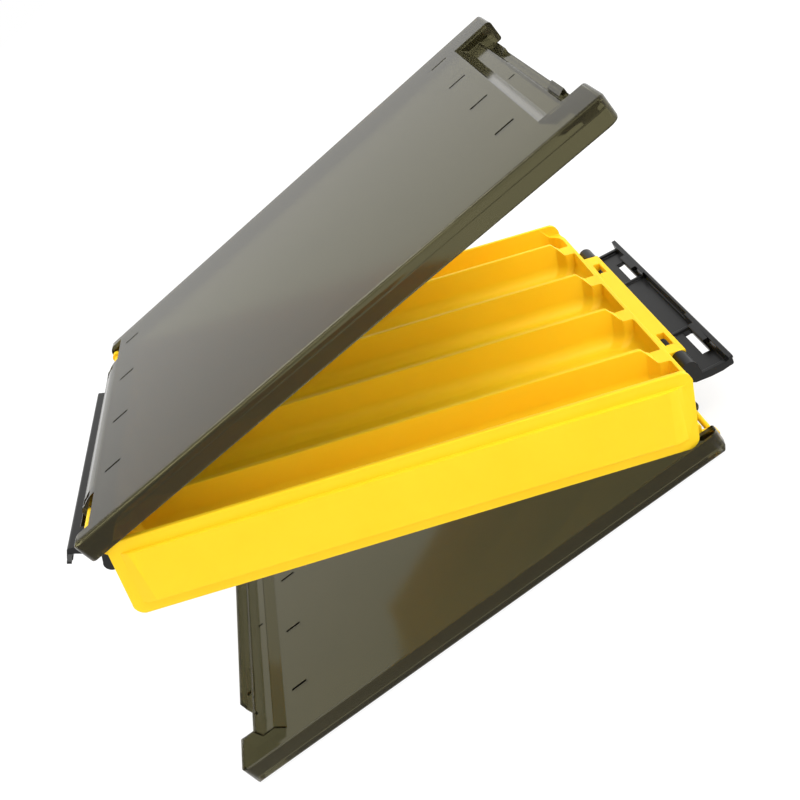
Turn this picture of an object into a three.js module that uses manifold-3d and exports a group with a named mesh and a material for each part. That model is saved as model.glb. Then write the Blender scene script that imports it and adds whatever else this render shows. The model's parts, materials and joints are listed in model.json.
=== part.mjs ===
// Double-sided lure box: a moulded tray open on both faces, two equal lids and two equal latches.
// Everything is drawn closed, with the tray level: X along the compartments, Y across them, Z up
// from the middle of the tray. The upper lid hinges at -X and latches at +X. The lower lid and
// latch are the upper ones turned half a turn about Y. The parts are then opened and stood as
// the box is shown. Sizes that end in OUT or IN are measured from the end of the tray, sizes
// that end in SIDE from the side of the piece that the comment names.
import * as THREE from 'three';
import { mergeVertices } from 'three/addons/utils/BufferGeometryUtils.js';
import Module from 'manifold-3d';

const wasm = await Module();
wasm.setup();

// Pose: lids in degrees from closed, latches in degrees from upright
const UPPER_LID_OPEN = 25.9;
const LOWER_LID_OPEN = 24.1;
const UPPER_LATCH_OPEN = 77.7;
const LOWER_LATCH_OPEN = 111;

// Tray
const TRAY_HALF_LENGTH = 92.6;
const TRAY_HALF_WIDTH = 72;
const TRAY_CORNER = 9;
const LEDGE_HEIGHT = 9.7; // the lid stands on it
const END_WALL = 1.2;
const RIM_RISE = 4.5; // above the ledge
const RIM_SET_IN = 1.5;
const RIM_WALL = 1.7;
const RIM_END_IN = 0.6;
const RIM_END_ROUND = 4.3;
const RIM_EDGE_ROUND = 0.5;
const MID_FLOOR = 1.8;
const FLOOR_FILLET = 1.3;

// Compartments and the dividers between them
const OUTER_POCKET = 18; // width of the front and back ones
const POCKET_DRAFT = 0.7; // each side, from the top to the floor
const POCKET_CORNER = 0.8;
const DIVIDER_TOP = 1.7;
const SHOULDER = 3; // each side, where a divider widens at its ends
const SHOULDER_ROUND = 1.2;
const NECK = 3.4; // length of the widened end
const SLOPE_FOOT_IN = 5.2; // the ends of the dividers slope down to the ledge
const SLOPE_RUN = 4.2;

// Flange beyond the end wall, between the ends of the latch
const FLANGE_DROP = 3.2; // below the ledge
const FLANGE_OUT = 7.4;
const FLANGE_THICK = 2.4;
const HOLE_OUT = 2.7;
const HOLE_LENGTH = 2.7;
const HOLE_WIDTH = 9;
const HOLE_SIDE = 11; // middle of a hole from the end of the flange
const HOLE_SHIFT = -1.3;

// Latch pivot
const PIVOT_OUT = 5;
const PIN_RADIUS = 1.2;
const PIN_LENGTH = 5.6;
const PIN_BOSS_RADIUS = 2.8;
const PIN_BOSS_WIDTH = 3;
const PIN_CLEARANCE = 0.3;

// Hinge rod, its arms on the tray and the clip on the lid
const ROD_OUT = 5.5;
const ROD_DROP = 4.1; // below the top of the lid
const ROD_RADIUS = 1.0;
const ROD_CLEARANCE = 0.3;
const CLIP_WALL = 1.3;
const CLIP_WIDTH = 5.2; // at each end of the tongue
const CLIP_SLOT_WIDTH = 3.4; // over the rod
const CLIP_SLOT_FRONT = 0.9; // from the rod outwards and inwards
const CLIP_SLOT_BACK = 3.2;
const COVER_OVER = 1; // between the clips the tongue only covers the rod
const COVER_THICK = 1.2;
const CLIP_FROM = -32; // degrees round the rod, open towards the tray and down
const CLIP_TO = 232;
const CLIP_BACK = 20;
const ARM_WIDTH = 2.5;
const ARM_EYE_WALL = 1;
const ARM_STAND_OUT = 1.7; // from the end of the tray, below the rod
const ARM_DROP = 2.2; // below the ledge, where the arm leaves the end wall

// Lid
const LID_RISE = 4; // above the rim
const PLATE = 1.7;
const FIT = 0.3; // between lid and tray
const LID_EDGE_ROUND = 1.6;
const LID_CORNER_ROUND = 4;
const SKIRT_STEP = 0.9; // the skirt is thicker above the rim
const HORN_OUT = 6.1;
const LID_END_WALL = 1.5;
const HINGE_WALL = 1.4;
const HINGE_WALL_IN = 0.4;
const HINGE_HORN_OUT = 7.1;
const HINGE_HORN_ROUND = 3.6;
const HORN_RIM_GAP = 0.4;
const TONGUE_SIDE = 23.5; // from the side of the tray

// Recess between the two horns at the latch end, and the shelf beyond it
const RECESS_DEPTH = 4;
const RECESS_AHEAD = 1; // starts ahead of the slope of the dividers
const RECESS_RUN = 4;
const RECESS_WALL = 1.1;
const STEP_IN = 1.2;
const STEP_RUN = 1;
const SHELF_OUT = 2.9;
const SHELF_SIDE = 7; // from the side of the recess
const SHELF_CORNER = 5.6;

// Catches on the shelf
const CATCH_SIDE = 21.3; // middle of a catch from the side of the recess
const CATCH_SHIFT = 6.2; // the catches and the shelf lie off centre
const CATCH_WIDTH = 12.2;
const CATCH_LENGTH = 2.7;
const CATCH_BACK_RISE = 0.6;
const CATCH_FRONT_RISE = 1.8;

// Vent slots through the lid
const SLOT_SIDE = 14.9; // last row from the side of the tray
const SLOT_SHIFT = 7.9;
const SLOT_WIDTH = 0.9;
const SLOT_LENGTH = 6.8;
const SLOT_LATCH_END_IN = 21;
const SLOT_HINGE_END_IN = 4.4;
const RECESS_SLOT_IN = 5.3;
const RECESS_SLOT_LENGTH = 2.4;
const RECESS_SLOT_Y = 1.3;

// Latch
const LATCH_SIDE = 18.5; // from the side of the tray
const LATCH_REACH = 4.4; // from the pivot to the inside of the plate
const LATCH_PLATE = 1.7;
const LATCH_DROP = 0.7; // below the top of the lid
const LATCH_BULGE = 0.7;
const LATCH_EDGE_ROUND = 0.5;
const LATCH_TOP_ROUND = 0.9;
const LATCH_END_WALL = 1.8;
const LATCH_RIM = 1.1;
const LATCH_RIM_RISE = 0.6; // where the rim starts, above the pivot barrel
const BARREL_LENGTH = 8.8;
const WINDOW_SIDE = 11.5; // from the end of the latch
const WINDOW_WIDTH = 16.5;
const WINDOW_DROP = 2.9;
const WINDOW_HEIGHT = 2.8;
const LIP_REACH = 0.9;
const LIP_THICK = 1.9;
const LIP_NOTCH_SIDE = 5.5; // from the window
const LIP_NOTCH_DEPTH = 0.7;
const FIN_REACH = 1.9;
const FIN_LENGTH = 2.6;
const FIN_GAP = 0.6; // to the side of the recess
const HOOK_INSET = 2;
const HOOK_GAP = 0.6; // over the catch
const HOOK_LENGTH = 2.4;
const RIB_WIDTH = 1.4;
const RIB_SIDE = 1; // from the window
const RIB_RISE = 0.7;

const LAP = 0.4; // joined pieces run this far into each other
const CLEAR = 1; // cutters run this far past what they cut

// Heights
const rimTop = LEDGE_HEIGHT + RIM_RISE;
const flangeTop = LEDGE_HEIGHT - FLANGE_DROP;
const pivotZ = flangeTop - PIN_BOSS_RADIUS;
const lidTop = rimTop + LID_RISE;
const lidBottom = LEDGE_HEIGHT + FIT / 2;
const plateUnder = lidTop - PLATE;
const recessFloor = lidTop - RECESS_DEPTH;
const shelfTop = LEDGE_HEIGHT + FIT + RECESS_WALL;
const rodZ = lidTop - ROD_DROP;
const latchTop = lidTop - LATCH_DROP;
const lipUnder = latchTop - LIP_THICK;

// Places along X
const rimEnd = TRAY_HALF_LENGTH - RIM_END_IN;
const slopeFoot = TRAY_HALF_LENGTH - SLOPE_FOOT_IN;
const flangeEnd = TRAY_HALF_LENGTH + FLANGE_OUT;
const pivotX = TRAY_HALF_LENGTH + PIVOT_OUT;
const rodX = -(TRAY_HALF_LENGTH + ROD_OUT);
const hornEnd = TRAY_HALF_LENGTH + HORN_OUT;
const hingeHornEnd = -(TRAY_HALF_LENGTH + HINGE_HORN_OUT);
const hingeWallX = -(TRAY_HALF_LENGTH - HINGE_WALL_IN);
const hingeWallBack = hingeWallX + HINGE_WALL;
const recessStart = slopeFoot - SLOPE_RUN - RECESS_AHEAD;
const recessFoot = recessStart + RECESS_RUN;
const stepX = TRAY_HALF_LENGTH - STEP_IN;
const shelfEnd = TRAY_HALF_LENGTH + SHELF_OUT;
const latchInner = pivotX + LATCH_REACH;
const latchOuter = latchInner + LATCH_PLATE;
const lipInner = pivotX + LIP_REACH;

// Places along Y
const rimHalfWidth = TRAY_HALF_WIDTH - RIM_SET_IN;
const rimInner = rimHalfWidth - RIM_WALL;
const dividerPitch = (rimInner - OUTER_POCKET - DIVIDER_TOP / 2) / 1.5;
const tongueHalf = TRAY_HALF_WIDTH - TONGUE_SIDE;
const hornWall = rimInner - HORN_RIM_GAP;
const hornInner = hornWall - HINGE_WALL;
const armOuter = hornInner - FIT;
const armInner = armOuter - ARM_WIDTH;
const latchHalf = TRAY_HALF_WIDTH - LATCH_SIDE;
const flangeHalf = latchHalf - BARREL_LENGTH - PIN_CLEARANCE;
const finEnd = latchHalf + FIN_REACH;
const recessHalf = finEnd + FIN_GAP;
const recessWide = recessHalf + RECESS_WALL;
const windowOut = latchHalf - WINDOW_SIDE;
const windowIn = windowOut - WINDOW_WIDTH;
const catchPlaces = [-1, 1].map((side) => CATCH_SHIFT + side * (recessHalf - CATCH_SIDE));
const slotPitch = (TRAY_HALF_WIDTH - SLOT_SIDE - SLOT_SHIFT) / 1.5;

// Helpers
const rad = THREE.MathUtils.degToRad;

function vec(pairs) {
  return pairs.map(([a, b]) => new THREE.Vector2(a, b));
}

function solid(geometry) {
  const g = geometry.clone();
  g.deleteAttribute('normal');
  g.deleteAttribute('uv');
  const merged = mergeVertices(g, 1e-5);
  return new wasm.Manifold(new wasm.Mesh({
    numProp: 3,
    vertProperties: new Float32Array(merged.attributes.position.array),
    triVerts: new Uint32Array(merged.index.array),
  }));
}

function join(...parts) {
  return parts.reduce((a, b) => a.add(b));
}

function cut(body, ...tools) {
  return tools.reduce((a, b) => a.subtract(b), body);
}

function box(x0, x1, y0, y1, z0, z1) {
  const g = new THREE.BoxGeometry(x1 - x0, y1 - y0, z1 - z0);
  g.translate((x0 + x1) / 2, (y0 + y1) / 2, (z0 + z1) / 2);
  return solid(g);
}

// Outline with each corner rounded by its own radius, which the edges beside it limit:
// points are [a, b, radius]
function rounded(points, steps = 5) {
  const at = (i) => new THREE.Vector2(...points.at(i % points.length));
  return points.flatMap(([, , radius = 0], i) => {
    const p = at(i);
    const before = at(i - 1).sub(p);
    const after = at(i + 1).sub(p);
    const shortest = Math.min(before.length(), after.length());
    const u = before.normalize();
    const v = after.normalize();
    const half = Math.acos(THREE.MathUtils.clamp(u.dot(v), -1, 1)) / 2;
    const r = Math.min(radius, 0.48 * shortest * Math.tan(half));
    if (r === 0) return [p];
    const reach = r / Math.tan(half);
    const centre = u.clone().add(v).normalize().multiplyScalar(r / Math.sin(half)).add(p);
    const from = u.clone().multiplyScalar(reach).add(p).sub(centre).angle();
    const to = v.clone().multiplyScalar(reach).add(p).sub(centre).angle();
    const turn = THREE.MathUtils.euclideanModulo(to - from + Math.PI, 2 * Math.PI) - Math.PI;
    return Array.from({ length: steps + 1 }, (_, k) => {
      const t = from + (turn * k) / steps;
      return new THREE.Vector2(Math.cos(t), Math.sin(t)).multiplyScalar(r).add(centre);
    });
  });
}

function rectangle(a0, a1, b0, b1, r = 0, steps = 5) {
  return rounded([[a0, b0, r], [a1, b0, r], [a1, b1, r], [a0, b1, r]], steps);
}

function arc(ca, cb, r, from, to, steps) {
  return Array.from({ length: steps + 1 }, (_, k) => {
    const t = rad(from + ((to - from) * k) / steps);
    return new THREE.Vector2(ca + r * Math.cos(t), cb + r * Math.sin(t));
  });
}

function circle(ca, cb, r, sides = 24) {
  return new THREE.EllipseCurve(ca, cb, r, r).getPoints(sides).slice(0, -1);
}

function extrude(points, length) {
  const shape = new THREE.Shape(points);
  return new THREE.ExtrudeGeometry(shape, { depth: length, bevelEnabled: false });
}

// Outline in (x, y), from z0 to z1
function alongZ(points, z0, z1) {
  return solid(extrude(points, z1 - z0).translate(0, 0, z0));
}

// Outline in (x, z), from y0 to y1
function alongY(points, y0, y1) {
  return solid(extrude(points, y1 - y0).rotateX(Math.PI / 2).translate(0, y1, 0));
}

// Outline in (y, z), from x0 to x1
function alongX(points, x0, x1) {
  const turn = new THREE.Matrix4().makeBasis(
    new THREE.Vector3(0, 1, 0), new THREE.Vector3(0, 0, 1), new THREE.Vector3(1, 0, 0));
  return solid(extrude(points, x1 - x0).applyMatrix4(turn).translate(x0, 0, 0));
}

// Path moved to its right by a distance, with mitred corners
function offsetPath(path, distance) {
  const normal = (a, b) => new THREE.Vector2(b.y - a.y, a.x - b.x).normalize();
  const last = path.length - 1;
  return path.map((p, i) => {
    const before = normal(path[Math.max(i - 1, 0)], path[Math.max(i, 1)]);
    const after = normal(path[Math.min(i, last - 1)], path[Math.min(i + 1, last)]);
    const mid = before.clone().add(after).normalize();
    return mid.multiplyScalar(distance / mid.dot(before)).add(p);
  });
}

// Rings of one outline stacked in z and shrunk about a centre: layers are [z, inset]
function loft(points, centre, half, layers) {
  const n = points.length;
  const verts = [];
  layers.forEach(([z, inset]) => {
    const sx = (half.x - inset) / half.x;
    const sy = (half.y - inset) / half.y;
    points.forEach((p) => verts.push(
      centre.x + (p.x - centre.x) * sx, centre.y + (p.y - centre.y) * sy, z));
  });
  const index = [];
  for (let k = 0; k + 1 < layers.length; k++) {
    for (let i = 0; i < n; i++) {
      const a = k * n + i;
      const b = k * n + ((i + 1) % n);
      index.push(a, b, b + n, a, b + n, a + n);
    }
  }
  const top = (layers.length - 1) * n;
  THREE.ShapeUtils.triangulateShape(points, []).forEach(([a, b, c]) => {
    index.push(c, b, a, top + a, top + b, top + c);
  });
  const g = new THREE.BufferGeometry();
  g.setAttribute('position', new THREE.Float32BufferAttribute(verts, 3));
  g.setIndex(index);
  return solid(g);
}

// The same solid on the other face and at the other end: half a turn about Y
function turned(body) {
  return body.rotate([0, 180, 0]);
}

function bothSides(body) {
  return body.add(body.mirror([0, 1, 0]));
}

// Tray: compartments
function pocket(points, y0, y1) {
  const floor = MID_FLOOR / 2;
  const top = rimTop + CLEAR;
  const draftAt = (z) => (POCKET_DRAFT * (rimTop - z)) / (rimTop - floor);
  const half = new THREE.Vector2(TRAY_HALF_LENGTH - END_WALL, (y1 - y0) / 2);
  return loft(points, new THREE.Vector2(0, (y0 + y1) / 2), half, [
    [floor, POCKET_DRAFT + FLOOR_FILLET],
    [floor + FLOOR_FILLET * 0.3, POCKET_DRAFT + FLOOR_FILLET * 0.3],
    [floor + FLOOR_FILLET, draftAt(floor + FLOOR_FILLET)],
    [top, draftAt(top)],
  ]);
}

// Side of a compartment along a divider, which stands in from it at both ends
function dividerSide(y, inwards) {
  const end = TRAY_HALF_LENGTH - END_WALL;
  const shoulder = y + inwards * SHOULDER;
  return [
    [-end, shoulder, POCKET_CORNER], [NECK - end, shoulder, SHOULDER_ROUND],
    [NECK + SHOULDER - end, y, SHOULDER_ROUND], [end - NECK - SHOULDER, y, SHOULDER_ROUND],
    [end - NECK, shoulder, SHOULDER_ROUND], [end, shoulder, POCKET_CORNER]];
}

function pockets() {
  const end = TRAY_HALF_LENGTH - END_WALL;
  const inner = (dividerPitch - DIVIDER_TOP) / 2;
  const between = [-1, 0, 1].map((k) => {
    const [y0, y1] = [k * dividerPitch - inner, k * dividerPitch + inner];
    return pocket(rounded([...dividerSide(y0, 1), ...dividerSide(y1, -1).reverse()], 2), y0, y1);
  });
  const y0 = rimInner - OUTER_POCKET;
  const corner = TRAY_CORNER - END_WALL;
  const outer = pocket(rounded([...dividerSide(y0, 1),
    [end, rimInner, corner], [-end, rimInner, corner]], 4), y0, rimInner);
  return join(...between, bothSides(outer));
}

// Clears the dividers away from the end ledge, between the front and back rims
function endCut() {
  const lean = SLOPE_RUN / RIM_RISE;
  return alongY(vec([[slopeFoot, LEDGE_HEIGHT], [flangeEnd, LEDGE_HEIGHT],
    [flangeEnd, rimTop + CLEAR], [slopeFoot - SLOPE_RUN - lean * CLEAR, rimTop + CLEAR]]),
  -rimInner, rimInner);
}

function latchEndFeatures() {
  const root = TRAY_HALF_LENGTH - END_WALL / 2;
  const under = flangeTop - FLANGE_THICK;
  const flange = box(root, flangeEnd, -flangeHalf, flangeHalf, under, flangeTop);
  const holeX = TRAY_HALF_LENGTH + HOLE_OUT;
  const holes = [-1, 1].map((side) => HOLE_SHIFT + side * (flangeHalf - HOLE_SIDE)).map((y) => (
    box(holeX, holeX + HOLE_LENGTH, y - HOLE_WIDTH / 2, y + HOLE_WIDTH / 2,
      under - CLEAR, flangeTop + CLEAR)));
  const bossY = flangeHalf - PIN_BOSS_WIDTH;
  const boss = join(
    alongY(circle(pivotX, pivotZ, PIN_BOSS_RADIUS), bossY, flangeHalf),
    box(root, pivotX, bossY, flangeHalf, pivotZ - PIN_BOSS_RADIUS + LAP, flangeTop),
    alongY(circle(pivotX, pivotZ, PIN_RADIUS, 16), bossY + LAP, flangeHalf + PIN_LENGTH));
  return cut(flange, ...holes).add(bothSides(boss));
}

// Arms that rise beside the hinge wall of the lid and reach out to the rod
function hingeEndFeatures() {
  const wallX = -TRAY_HALF_LENGTH;
  const root = wallX + END_WALL / 2;
  const out = wallX - ARM_STAND_OUT;
  const foot = LEDGE_HEIGHT - ARM_DROP;
  const eye = ROD_RADIUS + ARM_EYE_WALL;
  const arm = join(
    alongY(vec([[root, LEDGE_HEIGHT], [wallX, LEDGE_HEIGHT], [wallX, rodZ], [rodX, rodZ + eye],
      [rodX, rodZ - eye], [out, rodZ - eye], [out, foot + ARM_STAND_OUT], [wallX, foot],
      [root, foot]]), armInner, armOuter),
    alongY(circle(rodX, rodZ, eye, 16), armInner, armOuter));
  const inArm = (armInner + armOuter) / 2;
  return bothSides(arm).add(alongY(circle(rodX, rodZ, ROD_RADIUS, 18), -inArm, inArm));
}

function rims() {
  const side = alongY(rounded([
    [-rimEnd, 0], [rimEnd, 0],
    [rimEnd, rimTop, RIM_END_ROUND], [-rimEnd, rimTop, RIM_END_ROUND]]),
  -rimHalfWidth, rimHalfWidth);
  const across = alongX(rounded([
    [-rimHalfWidth, 0], [rimHalfWidth, 0],
    [rimHalfWidth, rimTop, RIM_EDGE_ROUND], [-rimHalfWidth, rimTop, RIM_EDGE_ROUND]], 3),
  -rimEnd, rimEnd);
  return side.intersect(across);
}

function buildTray() {
  const wall = alongZ(rectangle(-TRAY_HALF_LENGTH, TRAY_HALF_LENGTH,
    -TRAY_HALF_WIDTH, TRAY_HALF_WIDTH, TRAY_CORNER), -LEDGE_HEIGHT, LEDGE_HEIGHT);
  const hollow = pockets();
  const endings = endCut().add(endCut().mirror([1, 0, 0]));
  const shell = cut(join(wall, rims(), turned(rims())),
    hollow, turned(hollow), endings, turned(endings));
  const features = latchEndFeatures().add(hingeEndFeatures());
  return join(shell, features, turned(features));
}

// Lid, drawn closed on the upper face
function lidOuter() {
  const across = alongX(rounded([
    [-TRAY_HALF_WIDTH, lidBottom], [TRAY_HALF_WIDTH, lidBottom],
    [TRAY_HALF_WIDTH, lidTop, LID_EDGE_ROUND],
    [-TRAY_HALF_WIDTH, lidTop, LID_EDGE_ROUND]]), hingeHornEnd, hornEnd);
  const side = alongY(rounded([
    [hingeHornEnd, lidBottom, 1], [hornEnd, lidBottom, 1],
    [hornEnd, lidTop, LID_EDGE_ROUND], [hingeHornEnd, lidTop, HINGE_HORN_ROUND]]),
  -TRAY_HALF_WIDTH, TRAY_HALF_WIDTH);
  const plan = alongZ(rectangle(hingeHornEnd, hornEnd,
    -TRAY_HALF_WIDTH, TRAY_HALF_WIDTH, LID_CORNER_ROUND), lidBottom, lidTop);
  return across.intersect(side).intersect(plan);
}

function lidHollow() {
  const lower = rimHalfWidth + FIT;
  const upper = lower - SKIRT_STEP;
  const below = lidBottom - CLEAR;
  const rebate = rimTop + FIT;
  return alongX(rounded([
    [-lower, below], [lower, below], [lower, rebate], [upper, rebate],
    [upper, plateUnder, SKIRT_STEP], [-upper, plateUnder, SKIRT_STEP],
    [-upper, rebate], [-lower, rebate]], 3),
  hingeHornEnd + HINGE_WALL, hornEnd - LID_END_WALL);
}

// Top of the recess: down from the plate, out, and down the step to the shelf
const recessSection = vec([[recessStart, lidTop], [recessFoot, recessFloor],
  [stepX, recessFloor], [stepX + STEP_RUN, shelfTop]]);

function recessBlock() {
  const section = [...recessSection, new THREE.Vector2(stepX + STEP_RUN, lidBottom)];
  const floor = alongY([...section, ...offsetPath(section, RECESS_WALL).reverse()],
    -recessWide, recessWide);
  const under = recessFloor - RECESS_WALL;
  const cheekTop = lidTop - LID_EDGE_ROUND;
  const cheekEnd = hornEnd - LID_END_WALL + LAP;
  const cheek = alongY(vec([[recessStart, plateUnder], [recessFoot, under], [stepX, under],
    [stepX, lidBottom], [cheekEnd, lidBottom], [cheekEnd, cheekTop], [recessStart, cheekTop]]),
  recessHalf, recessWide);
  return floor.add(bothSides(cheek));
}

// Shelf beyond the step, with cut-off corners and a skirt down to the flange
function shelf() {
  const side = recessHalf - SHELF_SIDE;
  const [y0, y1] = [CATCH_SHIFT - side, CATCH_SHIFT + side];
  const edge = vec([[stepX, y0 - SHELF_CORNER], [shelfEnd, y0], [shelfEnd, y1],
    [stepX, y1 + SHELF_CORNER]]);
  const walls = alongZ([...edge, ...offsetPath(edge, -RECESS_WALL).reverse()],
    lidBottom, shelfTop);
  const top = alongZ(edge, shelfTop - RECESS_WALL, shelfTop);
  const skirt = box(shelfEnd - RECESS_WALL, shelfEnd, y0, y1, flangeTop + FIT, shelfTop);
  return join(walls, top, skirt).intersect(
    box(0, hornEnd, -recessWide + LAP, recessWide - LAP, 0, lidTop));
}

function recessCut() {
  const over = lidTop + CLEAR;
  const past = hornEnd + CLEAR;
  return alongY([...recessSection, ...vec([[past, shelfTop], [past, over], [recessStart, over]])],
    -recessHalf, recessHalf);
}

// Wedges that rise towards the free edge of the shelf
function catches() {
  const back = shelfEnd - CATCH_LENGTH;
  const root = shelfTop - RECESS_WALL / 2;
  const section = vec([[back, root], [shelfEnd, root],
    [shelfEnd, shelfTop + CATCH_FRONT_RISE], [back, shelfTop + CATCH_BACK_RISE]]);
  return join(...catchPlaces.map((y) => (
    alongY(section, y - CATCH_WIDTH / 2, y + CATCH_WIDTH / 2))));
}

// Plate that runs out over the hinge rod and closes round it as a snap clip at both ends
function tongue() {
  const bore = ROD_RADIUS + ROD_CLEARANCE;
  const radius = bore + CLIP_WALL;
  const root = hingeWallX + LAP;
  const [start, bend, end] = vec([
    [root, lidTop], [rodX + radius, lidTop], [rodX, rodZ + radius]]);
  const top = new THREE.QuadraticBezierCurve(start, bend, end).getPoints(5);
  const clipIn = tongueHalf - CLIP_WIDTH;
  const clip = alongY([
    ...top.slice(0, -1),
    ...arc(rodX, rodZ, radius, 90, CLIP_TO, 12),
    ...arc(rodX, rodZ, bore, CLIP_FROM, CLIP_TO, 16).reverse(),
    ...arc(rodX, rodZ, radius, CLIP_FROM, CLIP_BACK, 3),
    new THREE.Vector2(root, plateUnder)], clipIn, tongueHalf);
  const slotIn = clipIn + (CLIP_WIDTH - CLIP_SLOT_WIDTH) / 2;
  const slot = box(rodX - CLIP_SLOT_FRONT, rodX + CLIP_SLOT_BACK,
    slotIn, slotIn + CLIP_SLOT_WIDTH, rodZ, lidTop + CLEAR);
  const over = [...top, ...vec([[rodX - COVER_OVER, rodZ + radius - COVER_OVER / 4]])];
  const cover = alongY([...over, ...offsetPath(over, -COVER_THICK).reverse()],
    -clipIn - LAP, clipIn + LAP);
  return bothSides(cut(clip, slot)).add(cover);
}

function ventSlots() {
  const rows = [-1.5, -0.5, 0.5, 1.5].map((k) => SLOT_SHIFT + k * slotPitch);
  const slot = (x, length, y, low) => box(
    x, x + length, y - SLOT_WIDTH / 2, y + SLOT_WIDTH / 2, low - CLEAR, lidTop + CLEAR);
  return join(
    slot(TRAY_HALF_LENGTH - RECESS_SLOT_IN, RECESS_SLOT_LENGTH, RECESS_SLOT_Y,
      recessFloor - RECESS_WALL),
    ...rows.map((y) => slot(TRAY_HALF_LENGTH - SLOT_LATCH_END_IN, SLOT_LENGTH, y, plateUnder)),
    ...rows.map((y) => slot(SLOT_HINGE_END_IN - TRAY_HALF_LENGTH, SLOT_LENGTH, y, plateUnder)));
}

function buildLid() {
  const hingeGap = box(hingeHornEnd - CLEAR, hingeWallX, -hornInner, hornInner,
    lidBottom - CLEAR, lidTop + CLEAR);
  const hingeWall = box(hingeWallX, hingeWallBack, -hornWall, hornWall,
    lidBottom, plateUnder + LAP);
  const hornSides = bothSides(box(hingeHornEnd + HINGE_WALL, hingeWallBack,
    hornInner, hornWall, lidBottom, plateUnder + LAP));
  const endSetBack = box(stepX, hornEnd + CLEAR, -recessHalf, recessHalf, 0, lidTop + CLEAR);
  const shell = cut(lidOuter(), lidHollow(), endSetBack);
  return cut(join(shell, hornSides, hingeWall, recessBlock(), shelf()),
    recessCut(), hingeGap, ventSlots())
    .add(catches())
    .add(tongue());
}

// Latch, drawn upright at the +X end
function latchPlate() {
  const rise = latchTop - pivotZ;
  return alongY(rounded([
    [latchInner, pivotZ], [latchOuter - LATCH_BULGE, pivotZ, LATCH_EDGE_ROUND],
    [latchOuter, pivotZ + 0.4 * rise], [latchOuter, pivotZ + 0.7 * rise],
    [latchOuter - LATCH_BULGE, latchTop, LATCH_TOP_ROUND],
    [lipInner, latchTop, LATCH_EDGE_ROUND], [lipInner, lipUnder], [latchInner, lipUnder]]),
  -latchHalf, latchHalf);
}

function latchEndWall() {
  const rim = latchInner - LATCH_RIM;
  return alongY(vec([
    [latchInner + LAP, lipUnder + LAP], [rim, lipUnder],
    [rim, pivotZ + PIN_BOSS_RADIUS + LATCH_RIM_RISE], [pivotX, pivotZ + PIN_BOSS_RADIUS],
    [pivotX, pivotZ - PIN_BOSS_RADIUS], [latchInner, pivotZ - LATCH_PLATE],
    [latchOuter - LATCH_BULGE, pivotZ + LAP]]), latchHalf - LATCH_END_WALL, latchHalf);
}

function buildLatch() {
  const hookTip = shelfTop + CATCH_FRONT_RISE + HOOK_GAP;
  const hook = alongY(vec([
    [lipInner, lipUnder + LAP], [lipInner, hookTip + LAP],
    [lipInner + LAP, hookTip], [lipInner + HOOK_LENGTH, lipUnder + LAP]]),
  windowIn + HOOK_INSET, windowOut - HOOK_INSET);
  const windowTop = latchTop - WINDOW_DROP;
  const windows = bothSides(box(latchInner - CLEAR, latchOuter + CLEAR, windowIn, windowOut,
    windowTop - WINDOW_HEIGHT, windowTop));
  const notchHalf = windowIn - LIP_NOTCH_SIDE;
  const notch = box(lipInner - CLEAR, latchInner - LATCH_RIM, -notchHalf, notchHalf,
    lipUnder - CLEAR, lipUnder + LIP_NOTCH_DEPTH);
  const fin = alongZ(vec([
    [lipInner, latchHalf - LAP], [lipInner + FIN_LENGTH, latchHalf - LAP],
    [lipInner + FIN_LENGTH / 3, finEnd], [lipInner, finEnd]]),
  lipUnder + LAP / 2, latchTop - LAP / 2);
  const barrel = alongY(circle(pivotX, pivotZ, PIN_BOSS_RADIUS),
    flangeHalf + PIN_CLEARANCE, latchHalf);
  const bore = alongY(circle(pivotX, pivotZ, PIN_RADIUS + PIN_CLEARANCE, 16),
    flangeHalf - CLEAR, flangeHalf + PIN_LENGTH + PIN_CLEARANCE);
  const rib = box(latchInner - RIB_RISE, latchInner + LAP,
    windowIn - RIB_SIDE - RIB_WIDTH, windowIn - RIB_SIDE, pivotZ + PIN_BOSS_RADIUS,
    lipUnder + LAP / 2);
  return cut(
    join(cut(latchPlate(), notch), bothSides(join(rib, latchEndWall(), barrel, fin, hook))),
    windows, bothSides(bore));
}

// Meshes
function mesh(body, name, material) {
  const data = body.getMesh();
  const g = new THREE.BufferGeometry();
  g.setAttribute('position', new THREE.BufferAttribute(new Float32Array(data.vertProperties), 3));
  g.setIndex(new THREE.BufferAttribute(new Uint32Array(data.triVerts), 1));
  g.computeVertexNormals();
  const m = new THREE.Mesh(g, material);
  m.name = name;
  return m;
}

// Turn about a hinge line parallel to Y: positive lifts the +X side
function about(x, z, degrees) {
  return new THREE.Matrix4().makeTranslation(x, 0, z)
    .multiply(new THREE.Matrix4().makeRotationY(-rad(degrees)))
    .multiply(new THREE.Matrix4().makeTranslation(-x, 0, -z));
}

const trayPlastic = new THREE.MeshStandardMaterial({ color: 0xf9cf2c, roughness: 0.45, metalness: 0 });
const lidPlastic = new THREE.MeshStandardMaterial({
  color: 0x5b5a50, roughness: 0.15, metalness: 0, transparent: true, opacity: 0.72 });
const latchPlastic = new THREE.MeshStandardMaterial({ color: 0x2b2a28, roughness: 0.4, metalness: 0 });

const lid = buildLid();
const latch = buildLatch();

const tray = mesh(buildTray(), 'tray', trayPlastic);
const upperLid = mesh(lid, 'upper_lid', lidPlastic);
upperLid.applyMatrix4(about(rodX, rodZ, UPPER_LID_OPEN));
const lowerLid = mesh(turned(lid), 'lower_lid', lidPlastic);
lowerLid.applyMatrix4(about(-rodX, -rodZ, LOWER_LID_OPEN));
const upperLatch = mesh(latch, 'upper_latch', latchPlastic);
upperLatch.applyMatrix4(about(pivotX, pivotZ, -UPPER_LATCH_OPEN));
const lowerLatch = mesh(turned(latch), 'lower_latch', latchPlastic);
lowerLatch.applyMatrix4(about(-pivotX, -pivotZ, -LOWER_LATCH_OPEN));

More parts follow.
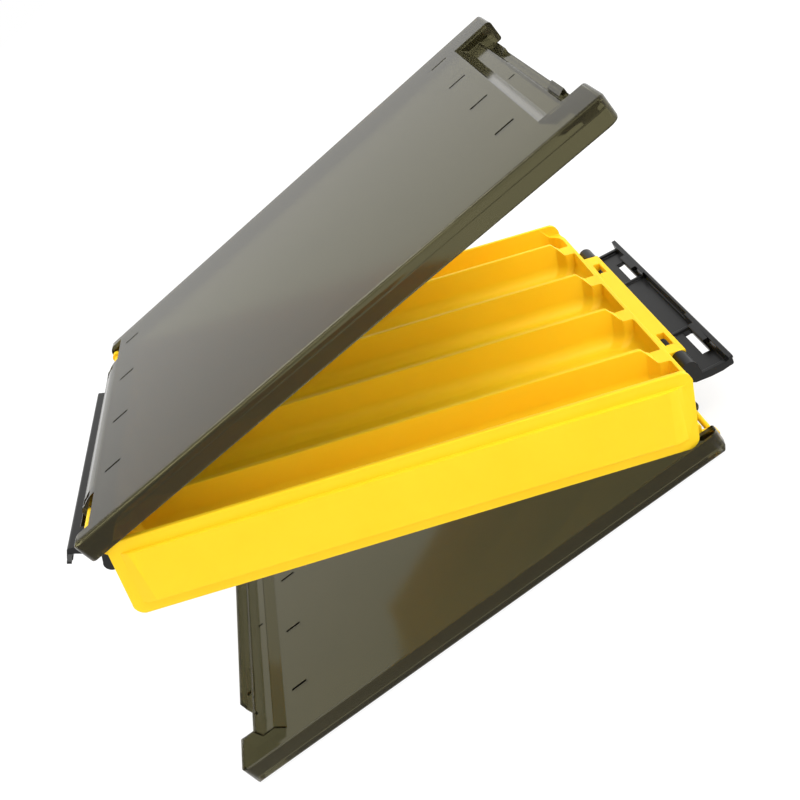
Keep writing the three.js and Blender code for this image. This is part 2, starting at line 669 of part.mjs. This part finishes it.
// Stand the box on the outer face of the lower lid, with the tray rising to its left, centred
const lureBox = new THREE.Group();
lureBox.name = 'lure_box';
lureBox.add(tray, upperLid, lowerLid, upperLatch, lowerLatch);
lureBox.applyMatrix4(new THREE.Matrix4().makeTranslation(0, 0, lidTop - rodZ)
  .multiply(new THREE.Matrix4().makeRotationY(rad(LOWER_LID_OPEN)))
  .multiply(new THREE.Matrix4().makeTranslation(rodX, 0, rodZ)));
lureBox.position.x -= new THREE.Box3().setFromObject(lureBox, true).getCenter(new THREE.Vector3()).x;

export default lureBox;
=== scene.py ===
"""Dresses the double-sided lure box: yellow moulded tray, smoke-tinted lids and black latches."""

import json
import math

import bmesh
import bpy
from bpy.props import FloatProperty, FloatVectorProperty, IntProperty, PointerProperty
from mathutils import Euler, Matrix, Vector


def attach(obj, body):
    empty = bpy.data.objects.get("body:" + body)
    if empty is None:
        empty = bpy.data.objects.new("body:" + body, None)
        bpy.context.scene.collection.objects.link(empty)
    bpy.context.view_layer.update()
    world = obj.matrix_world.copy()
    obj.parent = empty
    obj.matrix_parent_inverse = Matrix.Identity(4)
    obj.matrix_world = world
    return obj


bl_info = {
    "name": "Lure Box",
    "version": (1, 0, 0),
    "blender": (4, 5, 0),
    "location": "View3D > Sidebar > Lure Box",
    "description": "Gives the double-sided lure box its finished edges, plastics and studio",
    "category": "Object",
}

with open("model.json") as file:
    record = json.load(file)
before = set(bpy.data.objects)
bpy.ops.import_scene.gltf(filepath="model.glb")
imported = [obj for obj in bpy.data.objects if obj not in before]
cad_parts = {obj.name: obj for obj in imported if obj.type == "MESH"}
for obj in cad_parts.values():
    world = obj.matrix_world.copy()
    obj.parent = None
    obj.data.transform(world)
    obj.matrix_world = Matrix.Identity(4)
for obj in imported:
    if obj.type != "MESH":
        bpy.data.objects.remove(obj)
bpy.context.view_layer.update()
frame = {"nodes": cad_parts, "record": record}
turns_at = {joint["child"]: Vector(joint["pos_m"])
            for joint in frame["record"]["behaviour"]["joints"]}

MM = 0.001

# Edges
WELD_WITHIN = 0.002 * MM
SHARP_FROM = math.radians(38)
SHORTEST_ROUNDED = 3 * MM
CLEAR_OF_HINGE = 8 * MM  # the clips nearer to it are too small to round
SMOOTH_BELOW = math.radians(40)
FLAT_FACE_WEIGHT = 90

# Patterns of the plastics: distance between their marks
TRAY_FLOW = 22 * MM
LID_FLOW = 30 * MM
LATCH_FLOW = 12 * MM
LID_RIPPLE = 6 * MM  # sink and flow marks of a thin plate
# spark-eroded tool grain is about 0.05 mm: drawn this coarse so that it shows
TRAY_GRAIN = 0.35 * MM
LATCH_GRAIN = 0.3 * MM
GRAIN_DEPTH = 0.02 * MM
RIPPLE_DEPTH = 0.05 * MM
# near black painted into the lids' vent slots: painted shade of the narrow slots
VENT_SHADE_PAINT = "#14130e"

# Vent slots of a lid, where their shade is painted, in mm: the rows by their distance from the
# hinge, the lines across
VENT_ROWS = (13.3, 173.1)
VENT_LENGTH = 6.8
VENT_WIDTH = 0.9
VENT_SPARE = 0.1
VENT_PITCH = 32.8
VENT_SHIFT = 7.9
# How much each lid rises from its hinge to its free end, and which way along X that lies
LID_LEAN = {"upper_lid": math.radians(1.8), "lower_lid": 0.0}
LID_WAY = {"upper_lid": 1, "lower_lid": -1}

# Sizes of the tray that the rounds in its compartments follow, in mm with the tray level
RODS_APART = (196.2, -28.2)  # from the upper lid's rod to the lower lid's, along X and Z
POCKET_END = 91.4
POCKET_DEPTH = 13.3
POCKET_DRAFT = 0.7
POCKET_CORNER = 0.8
FLOOR_TOP = 0.9
RIM_INNER = 68.8
OUTER_POCKET = 18.0
OUTER_CORNER = 7.8
PITCH = 33.3
DIVIDER_TOP = 1.7
SHOULDER = 3.0
SHOULDER_ROUND = 1.2
NECK = 3.4
BEHIND = 0.3  # how far the rounds run on behind the tray's own faces
LIFT = 0.02  # from the tray's floor to the flat bottom of the rounds
ROUND_STEPS = 8
CORNER_STEPS = 3
OUTER_CORNER_STEPS = 6
CORNER_SHARE = 0.48  # of the shorter side next to a corner that its round may take

# Studio
ROOM_LIGHT = 0.86
PAPER = "#f2f2f2"
PAPER_GLOW = 1.08
PAPER_GLOW_SHARE = 0.8
FLOOR_HALF = 40.0
FLOOR_DROP = 0.02 * MM
LIT_POINT = (0.0, 0.0, 0.05)
LAMPS = (  # name, place in m, width in m, power in W
    ("key", (-0.35, -0.95, 0.4), 0.7, 0.6),
    ("fill", (0.95, -0.35, 0.28), 0.6, 2.2),
    ("top", (0.75, -0.25, 0.82), 0.6, 6.4),
    ("back", (-0.25, 0.45, 1.05), 0.6, 5.0),
)
CAMERA_PLACE = (0.07171, -0.33534, 0.22397)
CAMERA_TURN = (54.911, 37.397, -11.601)  # degrees about X, Y and Z
LENS_MM = 47.018
SENSOR_MM = 36.0

# Sockets of a Mix node for colours
MIX_A, MIX_B, MIX_RESULT = 6, 7, 2


def linear(hex_colour):
    """sRGB hex to linear RGBA."""
    parts = [int(hex_colour[i:i + 2], 16) / 255 for i in (1, 3, 5)]
    return (*(c / 12.92 if c <= 0.04045 else ((c + 0.055) / 1.055) ** 2.4 for c in parts), 1.0)


def node(tree, kind, settings=None, inputs=None, links=None):
    """Adds a node with its settings, input values and links to its inputs."""
    n = tree.nodes.new(kind)
    for key, value in (settings or {}).items():
        setattr(n, key, value)
    for key, value in (inputs or {}).items():
        n.inputs[key].default_value = value
    for key, source in (links or {}).items():
        tree.links.new(source, n.inputs[key])
    return n


def blank_material(name):
    m = bpy.data.materials.new(name)
    m.use_nodes = True
    m.node_tree.nodes.clear()
    return m, m.node_tree


def grain(tree, size, detail=2.0):
    """Noise whose features are about size metres across."""
    place = node(tree, "ShaderNodeTexCoord")
    noise = node(tree, "ShaderNodeTexNoise",
                 inputs={"Scale": 1.0 / size, "Detail": detail, "Roughness": 0.6},
                 links={"Vector": place.outputs["Object"]})
    return noise.outputs["Fac"]


def satin_skin(tree, size, smoothest, roughest, relief):
    """Roughness and relief of a spark-eroded tool's fine grain."""
    fine = grain(tree, size)
    rough = node(tree, "ShaderNodeMapRange", inputs={"To Min": smoothest, "To Max": roughest},
                 links={"Value": fine})
    bump = node(tree, "ShaderNodeBump", inputs={"Strength": relief, "Distance": GRAIN_DEPTH},
                links={"Height": fine})
    return {"Roughness": rough.outputs[0], "Normal": bump.outputs[0]}


def moulded_polypropylene(p):
    """Injection-moulded polypropylene: waxy satin with a little light under the skin."""
    m, t = blank_material("moulded polypropylene")
    colour = node(t, "ShaderNodeMix", {"data_type": "RGBA"},
                  inputs={MIX_A: p.tray_deep, MIX_B: p.tray_colour},
                  links={"Factor": grain(t, TRAY_FLOW)})
    skin = satin_skin(t, TRAY_GRAIN, smoothest=0.4, roughest=0.52, relief=0.12)
    s = node(t, "ShaderNodeBsdfPrincipled", inputs={
        "IOR": 1.49, "Subsurface Weight": 0.2, "Subsurface Scale": 1.5 * MM,
        "Subsurface Radius": (1.0, 0.55, 0.12), "Specular IOR Level": 0.35,
        "Specular Tint": linear("#ffe9a0")},
        links={"Base Color": colour.outputs[MIX_RESULT], **skin})
    node(t, "ShaderNodeOutputMaterial", links={"Surface": s.outputs[0]})
    return m


def painted_vent_shade(t, name):
    """Mask of the painted shade: one inside the vent slots of a lid, nought elsewhere, by
    distance from its hinge.
    """
    lean = LID_LEAN[name]
    along = Vector((math.cos(lean), 0.0, math.sin(lean))) * LID_WAY[name]
    to_local = frame["nodes"][name].matrix_world.inverted()
    place = node(t, "ShaderNodeTexCoord")
    from_hinge = node(t, "ShaderNodeVectorMath", {"operation": "SUBTRACT"},
                      inputs={1: to_local @ turns_at[name]},
                      links={0: place.outputs["Object"]})
    run = node(t, "ShaderNodeVectorMath", {"operation": "DOT_PRODUCT"},
               inputs={1: to_local.to_3x3() @ along}, links={0: from_hinge.outputs[0]})
    half_length = VENT_LENGTH / 2 + VENT_SPARE
    rows = [node(t, "ShaderNodeMath", {"operation": "COMPARE"},
                 inputs={1: middle * MM, 2: half_length * MM},
                 links={0: run.outputs["Value"]}).outputs[0] for middle in VENT_ROWS]
    in_row = node(t, "ShaderNodeMath", {"operation": "MAXIMUM"}, links={0: rows[0], 1: rows[1]})
    across = node(t, "ShaderNodeSeparateXYZ", links={0: from_hinge.outputs[0]})
    moved = node(t, "ShaderNodeMath", {"operation": "SUBTRACT"}, inputs={1: VENT_SHIFT * MM},
                 links={0: across.outputs["Y"]})
    # swings between nought and half the pitch, which it reaches on each line of vents
    wave = node(t, "ShaderNodeMath", {"operation": "PINGPONG"},
                inputs={1: VENT_PITCH / 2 * MM}, links={0: moved.outputs[0]})
    half_width = VENT_WIDTH / 2 + VENT_SPARE
    in_line = node(t, "ShaderNodeMath", {"operation": "GREATER_THAN"},
                   inputs={1: (VENT_PITCH / 2 - half_width) * MM}, links={0: wave.outputs[0]})
    both = node(t, "ShaderNodeMath", {"operation": "MULTIPLY"},
                links={0: in_row.outputs[0], 1: in_line.outputs[0]})
    return both.outputs[0]


def smoked_styrene(p, name):
    """Smoke-tinted clear polystyrene from a polished tool: see-through, glossy on its faces."""
    m, t = blank_material("smoked polystyrene " + frame["nodes"][name].name)
    clear = node(t, "ShaderNodeMix", {"data_type": "RGBA"},
                 inputs={MIX_A: p.lid_deep, MIX_B: p.lid_colour},
                 links={"Factor": grain(t, LID_FLOW)})
    # painted shade: the vent slots' walls and a thin strip round them are painted near black,
    # where the narrow slots lie in shade
    colour = node(t, "ShaderNodeMix", {"data_type": "RGBA"}, inputs={MIX_B: linear(VENT_SHADE_PAINT)},
                  links={"Factor": painted_vent_shade(t, name), MIX_A: clear.outputs[MIX_RESULT]})
    bump = node(t, "ShaderNodeBump", inputs={"Strength": 0.04, "Distance": RIPPLE_DEPTH},
                links={"Height": grain(t, LID_RIPPLE, detail=1.0)})
    # polystyrene's own IOR is 1.59: 1.46 and the low specular level are matched to the
    # brightness of the photographed lids
    # the warm specular tint is a painted reflection colour: it stands in for the tray's yellow
    # light mirrored in the lids
    s = node(t, "ShaderNodeBsdfPrincipled", inputs={
        "IOR": 1.46, "Roughness": 0.11, "Transmission Weight": 0.92,
        "Specular IOR Level": 0.08, "Specular Tint": linear("#dccfa8")},
        links={"Base Color": colour.outputs[MIX_RESULT], "Normal": bump.outputs[0]})
    node(t, "ShaderNodeOutputMaterial", links={"Surface": s.outputs[0]})
    return m


def moulded_acetal(p):
    """Black acetal from an eroded tool: dark satin with soft broad highlights."""
    m, t = blank_material("moulded acetal")
    colour = node(t, "ShaderNodeMix", {"data_type": "RGBA"},
                  inputs={MIX_A: p.latch_deep, MIX_B: p.latch_colour},
                  links={"Factor": grain(t, LATCH_FLOW)})
    skin = satin_skin(t, LATCH_GRAIN, smoothest=0.26, roughest=0.38, relief=0.15)
    s = node(t, "ShaderNodeBsdfPrincipled", inputs={"IOR": 1.48, "Specular IOR Level": 0.35},
             links={"Base Color": colour.outputs[MIX_RESULT], **skin})
    node(t, "ShaderNodeOutputMaterial", links={"Surface": s.outputs[0]})
    return m


def modifier_tree(name):
    """Empty geometry node tree with one geometry in and one out."""
    g = bpy.data.node_groups.new(name, "GeometryNodeTree")
    g.interface.new_socket("Geometry", in_out="INPUT", socket_type="NodeSocketGeometry")
    g.interface.new_socket("Geometry", in_out="OUTPUT", socket_type="NodeSocketGeometry")
    return g, node(g, "NodeGroupInput")


def soft_shading():
    """Shades smooth, with sharp edges from an angle up."""
    g, start = modifier_tree("soft shading")
    faces = node(g, "GeometryNodeSetShadeSmooth", {"domain": "FACE"},
                 links={"Geometry": start.outputs[0]})
    corner = node(g, "GeometryNodeInputMeshEdgeAngle")
    low = node(g, "FunctionNodeCompare", {"data_type": "FLOAT", "operation": "LESS_THAN"},
               inputs={"B": SMOOTH_BELOW}, links={"A": corner.outputs["Unsigned Angle"]})
    edges = node(g, "GeometryNodeSetShadeSmooth", {"domain": "EDGE"},
                 links={"Geometry": faces.outputs[0], "Shade Smooth": low.outputs[0]})
    node(g, "NodeGroupOutput", links={0: edges.outputs[0]})
    return g


def rounded_edges(name, hinge):
    """Marks the edges that have room for a round: sharp, not short and clear of a hinge."""
    g, start = modifier_tree(name)
    above = {"data_type": "FLOAT", "operation": "GREATER_THAN"}
    corner = node(g, "GeometryNodeInputMeshEdgeAngle")
    sharp = node(g, "FunctionNodeCompare", above, inputs={"B": SHARP_FROM},
                 links={"A": corner.outputs["Unsigned Angle"]})
    ends = node(g, "GeometryNodeInputMeshEdgeVertices")
    length = node(g, "ShaderNodeVectorMath", {"operation": "DISTANCE"},
                  links={0: ends.outputs["Position 1"], 1: ends.outputs["Position 2"]})
    long = node(g, "FunctionNodeCompare", above, inputs={"B": SHORTEST_ROUNDED},
                links={"A": length.outputs["Value"]})
    chosen = node(g, "FunctionNodeBooleanMath", {"operation": "AND"},
                  links={0: sharp.outputs[0], 1: long.outputs[0]})
    if hinge:
        place = node(g, "GeometryNodeInputPosition")
        away = node(g, "ShaderNodeVectorMath", {"operation": "SUBTRACT"}, inputs={1: hinge},
                    links={0: place.outputs[0]})
        # the hinge runs along Y, so that part of the distance doesn't count
        flat = node(g, "ShaderNodeVectorMath", {"operation": "MULTIPLY"}, inputs={1: (1, 0, 1)},
                    links={0: away.outputs[0]})
        far = node(g, "ShaderNodeVectorMath", {"operation": "LENGTH"},
                   links={0: flat.outputs[0]})
        clear = node(g, "FunctionNodeCompare", above, inputs={"B": CLEAR_OF_HINGE},
                     links={"A": far.outputs["Value"]})
        chosen = node(g, "FunctionNodeBooleanMath", {"operation": "AND"},
                      links={0: chosen.outputs[0], 1: clear.outputs[0]})
    mark = node(g, "GeometryNodeStoreNamedAttribute", {"data_type": "FLOAT", "domain": "EDGE"},
                inputs={"Name": "bevel_weight_edge"},
                links={"Geometry": start.outputs[0], "Value": chosen.outputs[0]})
    node(g, "NodeGroupOutput", links={0: mark.outputs[0]})
    return g


def soften(obj, width, segments, hinge):
    """Rounds the moulded edges of a part that comes with sharp ones."""
    weld = obj.modifiers.new("weld", "WELD")
    weld.merge_threshold = WELD_WITHIN
    marks = obj.modifiers.new("edges to round", "NODES")
    marks.node_group = rounded_edges("edges to round " + obj.name, hinge)
    edge = obj.modifiers.new("moulded edges", "BEVEL")
    edge.limit_method = "WEIGHT"
    edge.width = width
    edge.segments = segments
    edge.use_clamp_overlap = False
    shade(obj)


def shade(obj):
    smooth = obj.modifiers.new("soft shading", "NODES")
    smooth.node_group = bpy.data.node_groups.get("soft shading") or soft_shading()
    normals = obj.modifiers.new("flat faces lead", "WEIGHTED_NORMAL")
    normals.keep_sharp = True
    normals.weight = FLAT_FACE_WEIGHT


def dress(name, material, width, segments, hinge=None):
    obj = frame["nodes"][name]
    if not obj.material_slots:
        obj.data.materials.append(None)
    for slot in obj.material_slots:
        slot.link = "OBJECT"
        slot.material = material
    soften(obj, width, segments, hinge)


def tray_place():
    """From the level tray in millimetres to the frame: it lies midway between its hinge rods."""
    upper, lower = turns_at["upper_lid"], turns_at["lower_lid"]
    across = lower - upper
    level = math.atan2(RODS_APART[1], RODS_APART[0])
    turn = level - math.atan2(across.z, across.x)
    return (Matrix.Translation((upper + lower) / 2) @ Matrix.Rotation(turn, 4, "Y")
            @ Matrix.Scale(MM, 4))


def rounded_outline(points, steps):
    """Outline with each corner rounded by its own radius, as far as its edges allow."""
    out = []
    for i, (x, y, radius) in enumerate(points):
        p = Vector((x, y))
        before = Vector(points[i - 1][:2]) - p
        after = Vector(points[(i + 1) % len(points)][:2]) - p
        shortest = min(before.length, after.length)
        before.normalize()
        after.normalize()
        half = math.acos(max(-1.0, min(1.0, before.dot(after)))) / 2
        r = min(radius, CORNER_SHARE * shortest * math.tan(half))
        reach = r / math.tan(half)
        centre = p + (before + after).normalized() * (r / math.sin(half))
        first = p + before * reach - centre
        last = p + after * reach - centre
        a0 = math.atan2(first.y, first.x)
        turn = (math.atan2(last.y, last.x) - a0 + math.pi) % (2 * math.pi) - math.pi
        for k in range(steps + 1):
            t = a0 + turn * k / steps
            out.append(centre + Vector((math.cos(t), math.sin(t))) * r)
    return out


def divider_side(y, inwards):
    """One long side of a compartment: it steps in at both ends, where a divider widens."""
    shoulder = y + inwards * SHOULDER
    neck, wide = POCKET_END - NECK, POCKET_END - NECK - SHOULDER
    return [(-POCKET_END, shoulder, POCKET_CORNER), (-neck, shoulder, SHOULDER_ROUND),
            (-wide, y, SHOULDER_ROUND), (wide, y, SHOULDER_ROUND),
            (neck, shoulder, SHOULDER_ROUND), (POCKET_END, shoulder, POCKET_CORNER)]


def compartment_outlines():
    """Plan of each compartment with its middle and half width."""
    inner = (PITCH - DIVIDER_TOP) / 2
    found = []
    for k in (-1, 0, 1):
        y0, y1 = k * PITCH - inner, k * PITCH + inner
        plan = divider_side(y0, 1) + divider_side(y1, -1)[::-1]
        found.append((rounded_outline(plan, CORNER_STEPS), k * PITCH, inner))
    y0 = RIM_INNER - OUTER_POCKET
    plan = divider_side(y0, 1) + [(POCKET_END, RIM_INNER, OUTER_CORNER),
                                  (-POCKET_END, RIM_INNER, OUTER_CORNER)]
    outer = rounded_outline(plan, OUTER_CORNER_STEPS)
    middle, half = (y0 + RIM_INNER) / 2, OUTER_POCKET / 2
    found.append((outer, middle, half))
    found.append(([Vector((p.x, -p.y)) for p in reversed(outer)], -middle, half))
    return found


def compartment_rounds(radius, face):
    """Floor of every compartment on one face, rising into its walls with a wide round."""
    def draft(z):
        return POCKET_DRAFT * (1 - (z - FLOOR_TOP) / POCKET_DEPTH)

    top = FLOOR_TOP + radius
    layers = [(FLOOR_TOP - BEHIND, draft(FLOOR_TOP) - BEHIND), (top, draft(top) - BEHIND)]
    for k in range(ROUND_STEPS + 1):
        t = math.pi / 2 * k / ROUND_STEPS
        z = FLOOR_TOP + LIFT + radius * (1 - math.sin(t))
        layers.append((z, draft(z) + radius * (1 - math.cos(t))))
    verts, faces = [], []
    for outline, middle, half in compartment_outlines():
        base, n = len(verts), len(outline)
        for z, inset in layers:
            sx = (POCKET_END - inset) / POCKET_END
            sy = (half - inset) / half
            verts += [(face * p.x * sx, middle + (p.y - middle) * sy, face * z)
                      for p in outline]
        for ring in range(len(layers) - 1):
            for i in range(n):
                a = base + ring * n + i
                b = base + ring * n + (i + 1) % n
                faces.append((a, b, b + n, a + n))
        faces.append(tuple(range(base + n - 1, base - 1, -1)))
        faces.append(tuple(range(base + (len(layers) - 1) * n, base + len(layers) * n)))
    return verts, faces


def add_compartment_rounds(name, radius, face, material):
    verts, faces = compartment_rounds(radius / MM, face)
    mesh = bpy.data.meshes.new(name)
    place = tray_place()
    mesh.from_pydata([place @ Vector(v) for v in verts], [], faces)
    b = bmesh.new()
    b.from_mesh(mesh)
    bmesh.ops.recalc_face_normals(b, faces=b.faces)
    b.to_mesh(mesh)
    b.free()
    obj = bpy.data.objects.new(name, mesh)
    obj.data.materials.append(material)
    bpy.context.scene.collection.objects.link(obj)
    shade(obj)
    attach(obj, "tray")


class LureBoxSettings(bpy.types.PropertyGroup):
    tray_edge: FloatProperty(
        name="Tray edges", description="Width of the rounding on the tray's edges",
        default=0.35 * MM, min=0.0, max=1.0 * MM, unit="LENGTH", precision=5)
    lid_edge: FloatProperty(
        name="Lid edges", description="Width of the rounding on the lids' edges",
        default=0.2 * MM, min=0.0, max=1.0 * MM, unit="LENGTH", precision=5)
    latch_edge: FloatProperty(
        name="Latch edges", description="Width of the rounding on the latches' edges",
        default=0.25 * MM, min=0.0, max=1.0 * MM, unit="LENGTH", precision=5)
    floor_round: FloatProperty(
        name="Floor round", description="Radius between the floor and walls of a compartment",
        default=4.5 * MM, min=1.5 * MM, max=6.0 * MM, unit="LENGTH", precision=5)
    edge_segments: IntProperty(
        name="Edge segments", description="Faces across each rounded edge",
        default=2, min=1, max=6)
    tray_colour: FloatVectorProperty(
        name="Tray", description="Yellow of the tray",
        subtype="COLOR", size=4, default=linear("#ffd328"))
    tray_deep: FloatVectorProperty(
        name="Tray deep", description="Yellow of the tray along its flow lines",
        subtype="COLOR", size=4, default=linear("#fccb1c"))
    lid_colour: FloatVectorProperty(
        name="Lid", description="Smoke tint of the lids",
        subtype="COLOR", size=4, default=linear("#56523a"))
    lid_deep: FloatVectorProperty(
        name="Lid deep", description="Smoke tint of the lids along their flow lines",
        subtype="COLOR", size=4, default=linear("#504e37"))
    latch_colour: FloatVectorProperty(
        name="Latch", description="Black of the latches",
        subtype="COLOR", size=4, default=linear("#0c0c0a"))
    latch_deep: FloatVectorProperty(
        name="Latch deep", description="Black of the latches along their flow lines",
        subtype="COLOR", size=4, default=linear("#090908"))


class LUREBOX_OT_tray(bpy.types.Operator):
    """Dress the tray as satin yellow polypropylene"""
    bl_idname = "lurebox.tray"
    bl_label = "Tray"

    def execute(self, context):
        p = context.scene.lure_box
        material = moulded_polypropylene(p)
        dress("tray", material, p.tray_edge, p.edge_segments)
        add_compartment_rounds("upper_compartment_floors", p.floor_round, 1, material)
        add_compartment_rounds("lower_compartment_floors", p.floor_round, -1, material)
        return {"FINISHED"}


class LUREBOX_OT_lids(bpy.types.Operator):
    """Dress both lids as smoke-tinted polystyrene"""
    bl_idname = "lurebox.lids"
    bl_label = "Lids"

    def execute(self, context):
        p = context.scene.lure_box
        for name in LID_LEAN:
            material = smoked_styrene(p, name)
            dress(name, material, p.lid_edge, p.edge_segments, turns_at[name])
        return {"FINISHED"}


class LUREBOX_OT_latches(bpy.types.Operator):
    """Dress both latches as black acetal"""
    bl_idname = "lurebox.latches"
    bl_label = "Latches"

    def execute(self, context):
        p = context.scene.lure_box
        material = moulded_acetal(p)
        for name in ("upper_latch", "lower_latch"):
            dress(name, material, p.latch_edge, p.edge_segments)
        return {"FINISHED"}


def background_rays(t):
    """One for rays that show the background: straight, mirrored or through the lids."""
    path = node(t, "ShaderNodeLightPath")
    seen = node(t, "ShaderNodeMath", {"operation": "MAXIMUM"},
                links={0: path.outputs["Is Camera Ray"], 1: path.outputs["Is Glossy Ray"]})
    shown = node(t, "ShaderNodeMath", {"operation": "MAXIMUM"},
                 links={0: seen.outputs[0], 1: path.outputs["Is Transmission Ray"]})
    return shown.outputs[0]


def studio_world():
    """Soft white room: plain light on the object, clean white behind it."""
    world = bpy.data.worlds.new("studio")
    world.use_nodes = True
    t = world.node_tree
    t.nodes.clear()
    light = node(t, "ShaderNodeBackground",
                 inputs={"Color": (1, 1, 1, 1), "Strength": ROOM_LIGHT})
    white = node(t, "ShaderNodeBackground", inputs={"Color": (1, 1, 1, 1), "Strength": 1.0})
    mix = node(t, "ShaderNodeMixShader",
               links={0: background_rays(t), 1: light.outputs[0], 2: white.outputs[0]})
    node(t, "ShaderNodeOutputWorld", links={"Surface": mix.outputs[0]})
    bpy.context.scene.world = world


def paper_floor():
    """White paper floor: keeps the soft shadow, otherwise as white as the background."""
    m, t = blank_material("white paper")
    paper = node(t, "ShaderNodeBsdfDiffuse", inputs={"Color": linear(PAPER)})
    glow = node(t, "ShaderNodeEmission", inputs={"Strength": PAPER_GLOW})
    part = node(t, "ShaderNodeMath", {"operation": "MULTIPLY"}, inputs={1: PAPER_GLOW_SHARE},
                links={0: background_rays(t)})
    mix = node(t, "ShaderNodeMixShader",
               links={0: part.outputs[0], 1: paper.outputs[0], 2: glow.outputs[0]})
    node(t, "ShaderNodeOutputMaterial", links={"Surface": mix.outputs[0]})
    mesh = bpy.data.meshes.new("floor")
    r = FLOOR_HALF
    mesh.from_pydata([(-r, -r, 0), (r, -r, 0), (r, r, 0), (-r, r, 0)], [], [(0, 1, 2, 3)])
    floor = bpy.data.objects.new("floor", mesh)
    floor.data.materials.append(m)
    floor.location.z = -FLOOR_DROP
    bpy.context.scene.collection.objects.link(floor)
    return floor


def lamp(name, place, size, power):
    light = bpy.data.lights.new(name, "AREA")
    light.size = size
    light.energy = power
    obj = bpy.data.objects.new(name, light)
    obj.location = place
    aim = Vector(LIT_POINT) - Vector(place)
    obj.rotation_euler = aim.to_track_quat("-Z", "Y").to_euler()
    bpy.context.scene.collection.objects.link(obj)


class LUREBOX_OT_stage(bpy.types.Operator):
    """Set up the white room, the floor, the lamps and the camera"""
    bl_idname = "lurebox.stage"
    bl_label = "Stage"

    def execute(self, context):
        studio_world()
        paper_floor()
        for values in LAMPS:
            lamp(*values)
        camera = bpy.data.objects.new("camera", bpy.data.cameras.new("camera"))
        camera.location = CAMERA_PLACE
        camera.rotation_euler = Euler([math.radians(angle) for angle in CAMERA_TURN])
        camera.data.lens = LENS_MM
        camera.data.sensor_width = SENSOR_MM
        context.scene.collection.objects.link(camera)
        context.scene.camera = camera
        context.scene.view_settings.view_transform = "Standard"
        return {"FINISHED"}


class LUREBOX_PT_panel(bpy.types.Panel):
    bl_idname = "LUREBOX_PT_panel"
    bl_label = "Lure Box"
    bl_space_type = "VIEW_3D"
    bl_region_type = "UI"
    bl_category = "Lure Box"

    def draw(self, context):
        settings = context.scene.lure_box
        for key in LureBoxSettings.__annotations__:
            self.layout.prop(settings, key)
        for operator in OPERATORS:
            self.layout.operator(operator.bl_idname)


OPERATORS = (LUREBOX_OT_tray, LUREBOX_OT_lids, LUREBOX_OT_latches, LUREBOX_OT_stage)
CLASSES = (LureBoxSettings, *OPERATORS, LUREBOX_PT_panel)


def register():
    for cls in CLASSES:
        bpy.utils.register_class(cls)
    bpy.types.Scene.lure_box = PointerProperty(type=LureBoxSettings)


def unregister():
    del bpy.types.Scene.lure_box
    for cls in reversed(CLASSES):
        bpy.utils.unregister_class(cls)


def main():
    register()
    bpy.ops.lurebox.tray()
    bpy.ops.lurebox.lids()
    bpy.ops.lurebox.latches()
    bpy.ops.lurebox.stage()


if __name__ == "__main__":
    main()
